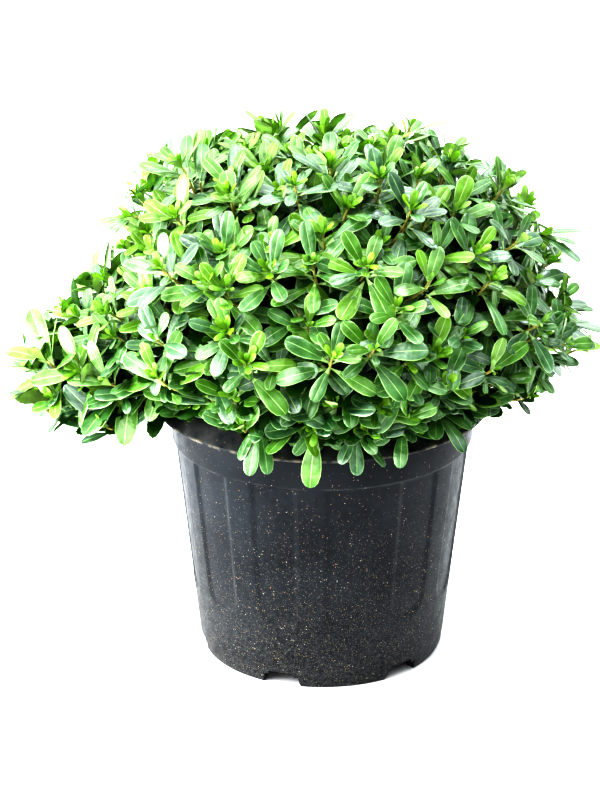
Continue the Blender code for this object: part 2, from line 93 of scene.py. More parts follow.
# Name, azimuth, elevation, breadth in azimuth and in elevation (degrees), change of reach
LOBES = (
    ("left_spread", 272, 2, 18, 9, 0.042),
    ("left_notch", 264, 31, 24, 11, -0.080),
    ("left_shoulder", 240, 51, 14, 12, 0.008),
    ("right_spread", 88, 11, 12, 4, 0.020),
    ("right_hollow", 92, 24, 30, 9, -0.012),
    ("right_shoulder", 100, 55, 22, 14, 0.012),
    ("right_undercut", 86, -14, 26, 17, -0.100),
    ("flat_top", 180, 74, 34, 28, -0.024),
    ("front_left_undercut", 317, -10, 26, 25, -0.138),
    ("front_undercut", 0, -10, 26, 24, -0.120),
    ("front_right_undercut", 43, -10, 27, 24, -0.105),
    ("back_undercut", 180, -12, 60, 22, -0.060),
)
REACH_SLACK = 0.003
POT_MARGIN = 0.003
WALL_OVERHANG = -0.016
MASSES = (
    ("top", 0, 90, 0.40, 0.074),
    ("upper_front", 6, 49, 0.30, 0.056),
    ("upper_right", 80, 48, 0.30, 0.058),
    ("upper_back_right", 152, 49, 0.30, 0.056),
    ("upper_back_left", 226, 50, 0.30, 0.058),
    ("upper_left", 296, 48, 0.30, 0.056),
    ("low_front", 2, 14, 0.284, 0.022),
    ("low_front_right", 49, 14, 0.290, 0.040),
    ("low_right", 96, 15, 0.276, 0.022),
    ("low_back_right", 143, 14, 0.262, 0.040),
    ("low_back_left", 200, 14, 0.260, 0.022),
    ("low_left", 270, 6, 0.253, 0.040),
    ("low_front_left", 319, 14, 0.292, 0.022),
)

# Shoots and leaves
SEED = 22
SHOOT_TRIES = 60
SHOOT_FROM_WALL_DEG = 1.5
# Share of the crown's reach, spacing in degrees, leaves at a shoot's end, and painted shade: how much darker their
# leaves are painted, deeper in the crown
LAYERS = (
    ("outer", 1.0, 8.3, (9, 10, 11), 0.0),
    ("under", 0.92, 9.2, (7, 8), 0.5),
    ("middle", 0.84, 9.0, (7, 8), 1.2),
    ("inner", 0.74, 9.6, (6, 7), 2.8),
    ("core", 0.62, 11.0, (6, 7), 3.5),
)
WHORL_DEPTH = (0.012, 0.027)
SHOOT_DEPTH = (0.011, 0.038)
SHOOT_STANDS_OUT = (-0.004, 0.004, 0.010)
JUTTING_SHARE = 0.24
JUTTING_BY = 0.013
SETTLED_AT_TOP = 0.009
CLOSER_AT_TOP = 0.12
SHOOT_RISE = (0.34, 0.45)
SHOOT_LEAN = 0.16
STEM_TOP_SHARE = 0.62
LEAF_LENGTH = (0.039, 0.054)
LEAF_WIDTH_SHARE = (0.285, 0.375)
LOW_LEFT_GROWTH = 0.75
OPENING = (90.0, 54.0)
OPENING_AT_TOP = 20.0
YOUNG_LENGTH = (0.013, 0.022)
GOLDEN_ANGLE = math.pi * (3.0 - math.sqrt(5.0))
LEAF_FITTINGS = ((1.0, 0.0), (1.0, 14.0), (0.9, -8.0), (0.85, 22.0), (0.72, 8.0), (0.6, 24.0), (0.48, 10.0))
# Sprays that hang over the front of the rim, then those that stand out at the crown's sides:
# mass, azimuth, radius, height, droop, sweep, leaves, size, tone
HANGING_FLOOR = 0.256
HANGING_SPRAYS = (
    ("low_front", -21, 0.174, 0.304, 66, 40, 3, 1.0, 2),
    ("low_front", -7, 0.172, 0.309, 26, 36, 2, 1.00, 0),
    ("low_front", -2, 0.182, 0.308, 74, 0, 1, 1.50, 0),
    ("low_front", 10, 0.180, 0.302, 56, 40, 3, 0.85, 3),
    ("low_front", 25, 0.182, 0.306, 44, 34, 2, 1.05, 2),
    ("low_front_right", 36, 0.184, 0.312, 20, 34, 3, 1.0, 2),
    ("low_front_left", -60, 0.172, 0.334, 62, 24, 2, 1.35, 1),
    ("low_left", -72, 0.196, 0.313, 48, 66, 5, 1.55, 1),
    ("low_left", -91, 0.264, 0.292, 14, 40, 3, 1.15, 1),
    ("upper_left", -83, 0.186, 0.466, 4, 44, 4, 0.90, 1),
    ("upper_right", 89, 0.212, 0.440, 2, 30, 3, 1.00, 2),
    ("low_right", 87, 0.236, 0.352, 8, 40, 4, 1.00, 3),
)

SPECKS_UP_TO = 0.22

# Photograph's camera
CAMERA_DISTANCE = 3.5
CAMERA_PITCH_DEG = 22.05
CAMERA_TARGET = Vector((-0.02232, 0.0, 0.2623))
CAMERA_FOCAL_PIXELS = 3469.7
IMAGE_HEIGHT = 800
SENSOR_MM = 36.0

# Studio
WORLD_BRIGHT_SIDE = (-0.38, 0.42, 0.824)
WORLD_REACH = -0.22
WORLD_STRENGTH = (0.04, 3.35)


# Meshes from arrays

def mesh_object(name, points, faces, material_index, materials, smooth=True):
    """An object from arrays of points, quads and the material slot of each quad."""
    mesh = bpy.data.meshes.new(name)
    points = np.asarray(points, dtype=np.float32)
    faces = np.asarray(faces, dtype=np.int32)
    mesh.vertices.add(len(points))
    mesh.vertices.foreach_set("co", points.ravel())
    mesh.loops.add(faces.size)
    mesh.loops.foreach_set("vertex_index", faces.ravel())
    mesh.polygons.add(len(faces))
    mesh.polygons.foreach_set("loop_start", np.arange(0, faces.size, faces.shape[1], dtype=np.int32))
    mesh.polygons.foreach_set("material_index", np.asarray(material_index, dtype=np.int32))
    mesh.polygons.foreach_set("use_smooth", np.full(len(faces), smooth))
    for material in materials:
        mesh.materials.append(material)
    mesh.update(calc_edges=True)
    mesh.validate()
    piece = bpy.data.objects.new(name, mesh)
    bpy.context.scene.collection.objects.link(piece)
    return piece


class Tubes:
    """Collects round tapering tubes into one mesh."""

    def __init__(self):
        self.points = []
        self.faces = []
        self.kinds = []
        self.count = 0

    def add(self, path, radii, sides, relief=0.0, grain=90.0, green_from=None):
        """Adds a tube; its rows from green_from on are young wood, in the second material."""
        rows = len(path)
        side = (path[1] - path[0]).orthogonal()
        ring_points = []
        for index in range(rows):
            along = (path[min(index + 1, rows - 1)] - path[max(index - 1, 0)]).normalized()
            side = (side - along * side.dot(along)).normalized()
            across = along.cross(side)
            for step in range(sides):
                turn = math.tau * step / sides
                out = side * math.cos(turn) + across * math.sin(turn)
                radius = radii[index]
                if relief:
                    where = (path[index] + out * radius) * grain
                    radius *= 1.0 + relief * noise.noise(Vector((where.x, where.y, where.z * 0.35)))
                ring_points.append(path[index] + out * radius)
        ring_points.append(path[0])
        ring_points.append(path[-1])
        start = self.count
        low_cap = start + rows * sides
        for row in range(rows - 1):
            for step in range(sides):
                after = (step + 1) % sides
                a = start + row * sides
                self.faces.append((a + step, a + after, a + sides + after, a + sides + step))
                self.kinds.append(0 if green_from is None or row < green_from else 1)
        for step in range(0, sides, 2):
            one, two, three = step, (step + 1) % sides, (step + 2) % sides
            last = start + (rows - 1) * sides
            self.faces.append((low_cap, start + three, start + two, start + one))
            self.faces.append((low_cap + 1, last + one, last + two, last + three))
            self.kinds.extend((0, 0 if green_from is None else 1))
        self.points.extend(ring_points)
        self.count += len(ring_points)

    def build(self, name, *materials):
        return mesh_object(name, [tuple(p) for p in self.points], self.faces, self.kinds, materials)


# Leaf blades: rows run from the stalk to the tip, columns from margin to margin

ROWS = np.array([0.0, 0.08, 0.20, 0.36, 0.52, 0.67, 0.80, 0.91, 0.975, 1.0])
COLUMNS = np.array([-1.0, -0.915, -0.48, -0.042, 0.042, 0.48, 0.915, 1.0])
UNDER_ROWS = np.array([0.0, 0.20, 0.52, 0.80, 0.975, 1.0])
UNDER_COLUMNS = np.array([-1.0, 0.0, 1.0])
YOUNG_ROWS = np.array([0.0, 0.2, 0.45, 0.7, 0.91, 1.0])
YOUNG_COLUMNS = np.array([-1.0, -0.5, 0.0, 0.5, 1.0])
WIDEST = 0.715


def half_width(rows):
    """Obovate blade: narrow wedge at the stalk, widest past the middle, round at the tip."""
    wedge = np.sin(np.pi / 2.0 * np.clip(rows / WIDEST, 0.0, 1.0) ** 1.15) ** 1.20
    crown = np.sqrt(np.clip(1.0 - (np.clip(rows - WIDEST, 0.0, 1.0) / (1.0 - WIDEST)) ** 2.5, 0.0, 1.0))
    width = np.where(rows < WIDEST, wedge, crown)
    return np.maximum(width, np.where(rows < 0.9, 0.075, 0.0))


class Leaves:
    """Collects leaves and lays their blades out in one mesh."""

    def __init__(self):
        self.rows = []

    def add(self, base, along, face, length, width, bend, cup, tone):
        across = along.cross(face).normalized()
        self.rows.append((*base, *along, *across, *face, length, width, bend, cup, tone))

    def sheet(self, data, rows, columns, lower, wave):
        base, along, across, face = (data[:, i:i + 3] for i in (0, 3, 6, 9))
        length, width, bend, cup = (data[:, i][:, None, None] for i in (12, 13, 14, 15))
        t = rows[None, :, None]
        u = columns[None, None, :]
        half = width / 2.0 * half_width(rows)[None, :, None]
        turn = bend * t
        forward = length * np.sin(turn) / bend
        drop = length * (1.0 - np.cos(turn)) / bend
        fold = half * cup * (np.abs(u) - 0.95 * np.abs(u) ** 3.2)
        ripple = half * 0.07 * np.abs(u) * np.sin(wave[:, None, None] + 8.0 * t + 1.5 * u)
        lift = fold + ripple - lower
        x = forward + lift * np.sin(turn)
        z = -drop + lift * np.cos(turn)
        y = u * half * np.ones_like(t)
        return (base[:, None, None, :] + along[:, None, None, :] * x[..., None]
                + across[:, None, None, :] * y[..., None] + face[:, None, None, :] * z[..., None])

    def build(self, name, looks, plain):
        """One mesh: the upper face of each blade with its midrib and margins, and its paler underside.

        looks holds the blades' materials by tone, then those of midribs, margins and undersides by tone.
        Plain blades are small or hidden, with no midrib or margin of their own.
        """
        data = np.array(self.rows, dtype=np.float64)
        count = len(data)
        tone = data[:, 16].astype(int)
        wave = np.arange(count) * 2.399
        rows, columns = (YOUNG_ROWS, YOUNG_COLUMNS) if plain else (ROWS, COLUMNS)
        tones = len(looks["blade"])
        materials = [material for kind in ("blade", "rib", "margin", "under") for material in looks[kind]]
        parts = []
        offset = 0
        for sheet_rows, sheet_columns, lower in ((rows, columns, 0.0), (UNDER_ROWS, UNDER_COLUMNS, 0.0005)):
            points = self.sheet(data, sheet_rows, sheet_columns, lower, wave)
            r, c = len(sheet_rows), len(sheet_columns)
            corner = (np.arange(r - 1)[:, None] * c + np.arange(c - 1)[None, :]).reshape(-1)
            quad = np.stack([corner, corner + 1, corner + c + 1, corner + c], axis=1)
            kind = np.zeros((r - 1, c - 1), dtype=int)
            if lower:
                quad = quad[:, ::-1]
                kind[:] = 3
            elif not plain:
                kind[:, (c - 1) // 2] = 1
                kind[:2, :] = 1
                kind[2:, 0] = 2
                kind[2:, -1] = 2
            slots = kind.reshape(1, -1) * tones + tone[:, None]
            quads = quad[None] + (np.arange(count) * r * c)[:, None, None] + offset
            parts.append((points.reshape(-1, 3), quads.reshape(-1, 4), slots.reshape(-1)))
            offset += count * r * c
        return mesh_object(name, np.concatenate([p[0] for p in parts]), np.concatenate([p[1] for p in parts]),
                           np.concatenate([p[2] for p in parts]), materials)


# Crown

def towards(azimuth_deg, elevation_deg):
    azimuth = math.radians(azimuth_deg)
    elevation = math.radians(elevation_deg)
    level = math.cos(elevation)
    return Vector((math.sin(azimuth) * level, -math.cos(azimuth) * level, math.sin(elevation)))


def crown_reach(direction):
    """How far the crown's leaf tips reach from the heart in a direction."""
    azimuth = math.degrees(math.atan2(direction.x, -direction.y))
    elevation = math.degrees(math.asin(max(-1.0, min(1.0, direction.z))))
    reach = DOME_REACH
    for _, lobe_azimuth, lobe_elevation, breadth, height, change in LOBES:
        turn = (azimuth - lobe_azimuth + 180.0) % 360.0 - 180.0
        across = turn * math.cos(math.radians(elevation)) / breadth
        up = (elevation - lobe_elevation) / height
        reach += change * math.exp(-across * across - up * up)
    return reach


def pot_top(radius):
    """Height of the pot's uppermost surface at a radius, or None outside its flange."""
    if radius <= LIP_RADIUS:
        return POT_HEIGHT
    if radius <= FLANGE_RADIUS:
        share = (radius - LIP_RADIUS) / (FLANGE_RADIUS - LIP_RADIUS)
        return POT_HEIGHT + share * (FLANGE_EDGE_HEIGHT - POT_HEIGHT)
    return None


class Mass:
    """One mass of foliage: a cone-shaped space round its own direction from the heart."""

    def __init__(self, name, azimuth, elevation, floor, bough_height):
        self.name = name
        self.direction = towards(azimuth, elevation)
        self.reach = crown_reach(self.direction)
        self.floor = floor
        self.bough_height = bough_height
        self.bough_tip = HEART + self.direction * self.reach * BOUGH_SHARE
        self.walls = []

    def hangs(self, point):
        return self.holds(point, HANGING_FLOOR)

    def holds(self, point, floor=None):
        offset = point - HEART
        if point.z < (floor or self.floor) or any(offset.dot(wall) < WALL_OVERHANG for wall in self.walls):
            return False
        surface = pot_top(math.hypot(point.x, point.y) - POT_MARGIN)
        return surface is None or point.z >= surface + POT_MARGIN

    def within_reach(self, point, slack):
        offset = point - HEART
        return self.holds(point) and offset.length < crown_reach(offset.normalized()) + slack


def make_masses():
    masses = [Mass(*row) for row in MASSES]
    for mass in masses:
        others = [other for other in masses if other is not mass]
        mass.walls = [(mass.direction - other.direction).normalized() for other in others]
    return masses


def scatter_shoots(mass, spacing_deg, label):
    """Spreads shoot directions evenly over a mass: each is the furthest from the rest of many tries."""
    chance = random.Random(f"{label} {SEED} {mass.name}")
    spacing = math.radians(spacing_deg)
    margin = math.sin(math.radians(SHOOT_FROM_WALL_DEG))
    shoots = []
    while True:
        best = None
        widest = spacing
        for _ in range(SHOOT_TRIES):
            spread = Vector((chance.gauss(0.0, 1.0), chance.gauss(0.0, 1.0), chance.gauss(0.0, 1.0)))
            direction = (mass.direction + spread * 0.38).normalized()
            if any(direction.dot(wall) < margin for wall in mass.walls):
                continue
            tip = HEART + direction * crown_reach(direction)
            if tip.z < mass.floor + 0.010:
                continue
            nearest = min((direction.angle(shoot) for shoot in shoots), default=math.pi)
            if nearest > widest:
                best = direction
                widest = nearest
        if best is None:
            return shoots
        shoots.append(best)


def pick_tone_with_painted_light(direction, chance, shade):
    """Tone of a spray's grown leaves, with painted light and shade: yellower and lighter at the top and left, where the
    light falls, bluer and darker at the right, and darker still by a layer's painted shade.
    """
    value = 2.94 - 1.80 * direction.z + 0.86 * direction.x * (0.6 + 0.6 * direction.z) + chance.gauss(0.0, 0.72) + shade
    return int(min(4, max(0, round(value))))


def set_leaf(leaves, fits, base, axis, outward, open_by, length, width, bend, cup, tone):
    """Adds a leaf, turned up or shortened until it fits its mass, or leaves it out."""
    for share, lift in LEAF_FITTINGS:
        opening = math.radians(open_by - lift)
        along = axis * math.cos(opening) + outward * math.sin(opening)
        face = axis * math.sin(opening) - outward * math.cos(opening)
        size = length * share
        tip = base + along * size * (1.0 - bend * 0.12) - face * size * bend * 0.42
        middle = base + along * size * 0.6 - face * size * bend * 0.16
        across = along.cross(face) * width * share * 0.5
        if all(fits(point) for point in (tip, middle, middle + across, middle - across)):
            leaves.add(base, along, face, size, width * share, bend, cup, tone)
            return


def whorl(leaves, fits, tip, axis, chance, count, tone, size, depth):
    """Grown leaves round a shoot's end: the old ones low and wide open, the newer ones standing up."""
    side = axis.orthogonal().normalized()
    turn = chance.uniform(0.0, math.tau)
    for index in range(count):
        share = index / (count - 1)
        outward = Matrix.Rotation(turn + index * GOLDEN_ANGLE, 3, axis) @ side
        widest = OPENING[0] - OPENING_AT_TOP * max(0.0, axis.z) ** 2
        open_by = widest - OPENING[1] * share ** 1.2 + chance.uniform(-9.0, 9.0)
        length = size * chance.uniform(*LEAF_LENGTH) * (1.0 - 0.24 * share ** 2)
        width = length * chance.uniform(*LEAF_WIDTH_SHARE)
        base = tip - axis * (depth * (1.0 - share) + 0.001) + outward * 0.0012
        leaf_tone = tone + chance.choice((0, 0, 0, 1, -1)) - (1 if share > 0.75 else 0)
        set_leaf(leaves, fits, base, axis, outward, open_by, length, width,
                 chance.uniform(0.12, 0.80), chance.uniform(0.16, 0.42), min(4, max(0, leaf_tone)))


def hang(leaves, fits, tip, level, chance, droop_deg, sweep_deg, count, size, tone):
    """Leaves that hang from a shoot's end over the rim, side by side."""
    up = Vector((0.0, 0.0, 1.0))
    for index in range(count):
        aside = 2.0 * index / (count - 1) - 1.0 if count > 1 else 0.0
        sweep = math.radians(sweep_deg) * aside + chance.gauss(0.0, 0.1)
        droop = math.radians(droop_deg * (1.0 - 0.35 * abs(aside)) + chance.uniform(-8.0, 8.0))
        out = Matrix.Rotation(sweep, 3, "Z") @ level
        length = size * chance.uniform(*LEAF_LENGTH)
        set_leaf(leaves, fits, tip, out * math.sin(droop) + up * math.cos(droop),
                 out * math.cos(droop) - up * math.sin(droop), 90.0, length, length * chance.uniform(*LEAF_WIDTH_SHARE),
                 chance.uniform(0.1, 0.5), chance.uniform(0.1, 0.3), tone + chance.choice((0, 0, 1)))


def tuft(young, fits, tip, axis, direction, chance):
    """Young leaves standing in the middle of a whorl. Full tufts, with lighter leaves, are commoner at the top and
    left: partly real young growth, partly painted light where the light falls.
    """
    side = axis.orthogonal().normalized()
    turn = chance.uniform(0.0, math.tau)
    # Full tufts are commoner at the top and left: partly painted light.
    full = chance.random() < 0.65 + 0.3 * (direction.z - direction.x * 0.6)
    count = chance.choice((5, 6, 7)) if full else chance.choice((2, 3))
    for index in range(count):
        outward = Matrix.Rotation(turn + index * GOLDEN_ANGLE, 3, axis) @ side
        length = chance.uniform(*YOUNG_LENGTH) * (1.0 if full else 0.65)
        opening = 8.0 + 44.0 * index / count + chance.uniform(-6.0, 6.0)
        set_leaf(young, fits, tip + axis * 0.001, axis, outward, opening, length, length * chance.uniform(0.32, 0.42),
                 chance.uniform(0.1, 0.5), 0.5, chance.choice((0, 1, 1)) if full else 1)


def smooth_path(points, steps):
    """Points along a quadratic curve through a start, a bend and an end."""
    start, bend, end = points
    shares = [step / (steps - 1) for step in range(steps)]
    return [start.lerp(bend, s).lerp(bend.lerp(end, s), s) for s in shares]


def add_twig(twigs, mass, fork, bend, tip):
    path = smooth_path((fork, bend, tip), 7)
    if all(mass.holds(point) for point in path[2:]):
        twigs.add(path, [0.0021 - 0.0009 * step / 6 for step in range(7)], 5, 0.10, green_from=3)


def grow_mass(mass, looks):
    chance = random.Random(f"grow {SEED} {mass.name}")
    leaves = Leaves()
    hidden = Leaves()
    young = Leaves()
    twigs = Tubes()
    start = mass.bough_tip
    top = HEART + mass.direction * mass.reach * STEM_TOP_SHARE
    twigs.add(smooth_path((start, start.lerp(top, 0.5), top), 8), [0.0031 - 0.0012 * i / 7 for i in range(8)], 6, 0.1)
    for label, share, spacing, counts, painted_shade_by in LAYERS:
        topped = label in ("outer", "under")
        for direction in scatter_shoots(mass, spacing * (1.0 - CLOSER_AT_TOP * mass.direction.z), label):
            away = direction.angle(mass.direction) / math.radians(40.0)
            fork = start.lerp(top, max(0.1, 0.95 - 0.6 * away))
            wander = Vector((chance.gauss(0, 1), chance.gauss(0, 1), chance.gauss(0, 1))) * 0.11
            rise = SHOOT_RISE[0] + SHOOT_RISE[1] * max(0.0, 1.0 - max(0.0, direction.z)) ** 2
            axis = (direction + Vector((0.0, -SHOOT_LEAN, rise)) + wander).normalized()
            slack = REACH_SLACK - SETTLED_AT_TOP * max(0.0, direction.z) ** 2
            if label == "outer":
                mean, scatter, most = SHOOT_STANDS_OUT
                slack += max(-most, min(most, chance.gauss(mean, scatter)))
                if chance.random() < JUTTING_SHARE:
                    slack += JUTTING_BY
            tip = HEART + direction * (crown_reach(direction) * share + slack - chance.uniform(*SHOOT_DEPTH))
            if not mass.holds(tip):
                continue
            add_twig(twigs, mass, fork, tip - axis * 0.045, tip)
            # The tone carries painted light by direction and painted shade by how deep the layer lies.
            tone = pick_tone_with_painted_light(direction, chance, painted_shade_by)
            size = 1.05 + LOW_LEFT_GROWTH * max(0.0, -direction.x) * max(0.0, 1.0 - 2.5 * max(0.0, direction.z))
            # Leaves of the deeper layers take the darker inner materials: painted shade.
            kind = leaves if topped else hidden
            depth = WHORL_DEPTH[1] if topped else WHORL_DEPTH[0]
            fits = functools.partial(mass.within_reach, slack=slack)
            whorl(kind, fits, tip, axis, chance, chance.choice(counts), tone, size, depth)
            if label == "outer":
                tuft(young, fits, tip, axis, direction, chance)
    for name, azimuth, radius, height, droop, sweep, count, size, tone in HANGING_SPRAYS:
        if name != mass.name:
            continue
        level = towards(azimuth, 0.0)
        tip = Vector((level.x * radius, level.y * radius, height))
        axis = (level + Vector((0.0, 0.0, 0.25))).normalized()
        add_twig(twigs, mass, start.lerp(top, 0.6), tip - axis * 0.04, tip)
        whorl(leaves, mass.holds, tip, axis, chance, 5, 2, 0.9, WHORL_DEPTH[0])
        hang(leaves, mass.hangs, tip, level, chance, droop, sweep, count, size, tone)
        tuft(young, mass.holds, tip, axis, level, chance)
    pieces = [
        leaves.build(f"leaves_{mass.name}", looks["grown"], False),
        hidden.build(f"inner_leaves_{mass.name}", looks["inner"], True),
        young.build(f"young_leaves_{mass.name}", looks["young"], True),
        twigs.build(f"twigs_{mass.name}", looks["twig"], looks["shoot"]),
    ]
    for piece in pieces:
        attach(piece, "root")
        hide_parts(f"foliage_{mass.name}")


# Limbs

def stem_axis(height):
    foot = Vector((0.0, 0.0, SOIL_HEIGHT))
    upright = min(height, STEM_RINGS[1][0])
    return foot + Vector((0.0, 0.0, upright)) + STEM_LEAN * (height - upright)


def build_limbs(masses, material):
    limbs = Tubes()
    steps = 30
    heights = [STEM_RINGS[-1][0] * step / (steps - 1) for step in range(steps)]
    known, radii = zip(*STEM_RINGS)
    limbs.add([stem_axis(h) for h in heights], list(np.interp(heights, known, radii)), 24, 0.16, 110.0)
    for mass in masses:
        foot = stem_axis(mass.bough_height)
        level = Vector((mass.direction.x, mass.direction.y, 0.0))
        if level.length > 0.1:
            out = (level.normalized() + mass.direction * 0.9).normalized()
        else:
            out = mass.direction
        bend = foot + out * (mass.bough_tip - foot).length * 0.5
        path = smooth_path((foot, bend, mass.bough_tip), 22)
        taper = [BOUGH_BASE_RADIUS + (BOUGH_TIP_RADIUS - BOUGH_BASE_RADIUS) * s / 21 for s in range(22)]
        limbs.add(path, taper, 12, 0.14, 160.0)
    piece = limbs.build("stem_and_boughs", material)
    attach(piece, "root")
    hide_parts("stem", *[f"bough_{mass.name}" for mass in masses])


# Pot

def wall_radius(height):
    share = (height - FOOT_HEIGHT) / (BAND_FOOT_HEIGHT - FOOT_HEIGHT)
    return WALL_FOOT_RADIUS + share * (WALL_TOP_RADIUS - WALL_FOOT_RADIUS)


def flute_depth(azimuth_deg, height):
    """Depth of the flute at a place on the wall: a soft-sided panel with a round lower end."""
    pitch = 360.0 / FLUTE_COUNT
    off = abs((azimuth_deg - FLUTE_PHASE_DEG + pitch / 2.0) % pitch - pitch / 2.0)
    half = FLUTE_WIDTH_DEG / 2.0
    end_round = 0.018
    over_end = max(0.0, FLUTE_BOTTOM + end_round - height) / end_round
    if over_end > 1.0:
        return 0.0
    half *= math.sqrt(max(0.0, 1.0 - over_end ** 2.4))
    side = min(1.0, max(0.0, (half - off) / FLUTE_EDGE_DEG + 0.5))
    return FLUTE_DEPTH * side * side * (3.0 - 2.0 * side)


def pot_rings():
    """Rings of the pot from its middle floor over the lip and down to the ground: radius, height."""
    band_inner = BAND_RADIUS - WALL_THICKNESS
    floor_top = FLOOR_UNDERSIDE + FLOOR_THICKNESS
    inner_foot = wall_radius(floor_top) - WALL_THICKNESS
    inner_top = wall_radius(BAND_FOOT_HEIGHT) - WALL_THICKNESS
    rings = [(0.0005, floor_top), (inner_foot, floor_top), (inner_foot + 0.0005, floor_top + 0.001)]
    rings += [(inner_top, BAND_FOOT_HEIGHT), (band_inner, BAND_FOOT_HEIGHT + WALL_THICKNESS)]
    rings += [(band_inner, POT_HEIGHT - 0.003), (band_inner + 0.0002, POT_HEIGHT - 0.0014)]
    rings += [(band_inner + 0.0008, POT_HEIGHT - 0.0004), (band_inner + 0.0018, POT_HEIGHT)]
    rings += [(LIP_RADIUS - 0.0012, POT_HEIGHT), (LIP_RADIUS, POT_HEIGHT - 0.0003)]
    rings += [(LIP_RADIUS + 0.0012, POT_HEIGHT - 0.0012)]
    slope = (FLANGE_EDGE_HEIGHT - POT_HEIGHT) / (FLANGE_RADIUS - LIP_RADIUS)
    for radius in (0.158, 0.163, 0.1675, 0.1692):
        rings.append((radius, POT_HEIGHT + slope * (radius - LIP_RADIUS)))
    edge = FLANGE_EDGE_HEIGHT
    rings += [(FLANGE_RADIUS - 0.0002, edge), (FLANGE_RADIUS, edge - 0.0006)]
    rings += [(FLANGE_RADIUS, edge - FLANGE_THICKNESS + 0.0004), (FLANGE_RADIUS - 0.0004, edge - FLANGE_THICKNESS)]
    root = POT_HEIGHT - 2.0 * FLANGE_THICKNESS
    rings += [(BAND_RADIUS + 0.0015, root - 0.0006), (BAND_RADIUS + 0.0003, root - 0.002), (BAND_RADIUS, root - 0.004)]
    rings += [(BAND_RADIUS, 0.25), (BAND_RADIUS, BAND_FOOT_HEIGHT + 0.0016)]
    rings += [(BAND_RADIUS - 0.0003, BAND_FOOT_HEIGHT + 0.0006), (BAND_RADIUS - 0.0010, BAND_FOOT_HEIGHT)]
    rings += [(WALL_TOP_RADIUS + 0.0004, BAND_FOOT_HEIGHT)]
    for row in range(1, WALL_ROWS + 1):
        height = BAND_FOOT_HEIGHT + (FOOT_HEIGHT - BAND_FOOT_HEIGHT) * row / WALL_ROWS
        rings.append((wall_radius(height), height))
    rings += [(WALL_FOOT_RADIUS - 0.0006, FOOT_HEIGHT - 0.0025), (FOOT_RADIUS + 0.0025, 0.0045)]
    rings += [(FOOT_RADIUS + 0.0006, 0.0012), (FOOT_RADIUS, 0.0), (FOOT_RADIUS - FOOT_RING_WIDTH, 0.0)]
    rings += [(FOOT_RADIUS - FOOT_RING_WIDTH - 0.001, FLOOR_UNDERSIDE), (CENTRE_PAD_RADIUS + 0.001, FLOOR_UNDERSIDE)]
    rings += [(CENTRE_PAD_RADIUS, 0.0), (0.0005, 0.0)]
    return rings


def build_pot(material):
    rings = pot_rings()
    points = []
    for radius, height in rings:
        on_wall = FOOT_HEIGHT < height < BAND_FOOT_HEIGHT - 0.0005 and abs(radius - wall_radius(height)) < 1e-6
        for column in range(POT_COLUMNS):
            azimuth = 360.0 * column / POT_COLUMNS
            r = radius - flute_depth(azimuth, height) if on_wall else radius
            turn = math.radians(azimuth)
            points.append((math.sin(turn) * r, -math.cos(turn) * r, height))
    row = np.arange(len(rings) - 1)[:, None] * POT_COLUMNS
    column = np.arange(POT_COLUMNS)[None, :]
    after = (column + 1) % POT_COLUMNS
    faces = np.stack([row + column, row + POT_COLUMNS + column, row + POT_COLUMNS + after, row + after], axis=-1)
    faces = faces.reshape(-1, 4)
    pot = mesh_object("pot_body", points, faces, np.zeros(len(faces)), [material])
    shape = bmesh.new()
    shape.from_mesh(pot.data)
    bmesh.ops.holes_fill(shape, edges=shape.edges, sides=0)
    bmesh.ops.recalc_face_normals(shape, faces=shape.faces)
    shape.to_mesh(pot.data)
    shape.free()
    cutters = []
    for index in range(NOTCH_COUNT):
        cutters.append(notch_cutter(index))
        cut = pot.modifiers.new(f"notch_{index}", "BOOLEAN")
        cut.operation = "DIFFERENCE"
        cut.object = cutters[-1]
    bpy.context.view_layer.update()
    mesh = bpy.data.meshes.new_from_object(pot.evaluated_get(bpy.context.evaluated_depsgraph_get()))
    pot.modifiers.clear()
    pot.data = mesh
    for cutter in cutters:
        bpy.data.objects.remove(cutter)
    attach(pot, "root")
    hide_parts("pot")
    return pot


def notch_cutter(index):
    shape = bmesh.new()
    bmesh.ops.create_cube(shape, size=1.0)
    below_ground = 0.004
    height = NOTCH_HEIGHT + below_ground
    for corner in shape.verts:
        flare = NOTCH_FLARE if corner.co.z < 0.0 else 1.0
        corner.co.x *= NOTCH_TOP_WIDTH * flare
        corner.co.y = corner.co.y * 0.030 - FOOT_RADIUS
        corner.co.z = corner.co.z * height + NOTCH_HEIGHT - height / 2.0
    top_edges = [edge for edge in shape.edges if all(v.co.z > NOTCH_HEIGHT - 1e-5 for v in edge.verts)]
    bmesh.ops.bevel(shape, geom=top_edges, offset=0.004, segments=4, affect="EDGES")
    mesh = bpy.data.meshes.new(f"notch_{index}")
    shape.to_mesh(mesh)
    shape.free()
    block = bpy.data.objects.new(f"notch_{index}", mesh)
    block.rotation_euler.z = math.radians(NOTCH_PHASE_DEG + index * 360.0 / NOTCH_COUNT)
    bpy.context.scene.collection.objects.link(block)
    return block


# Soil

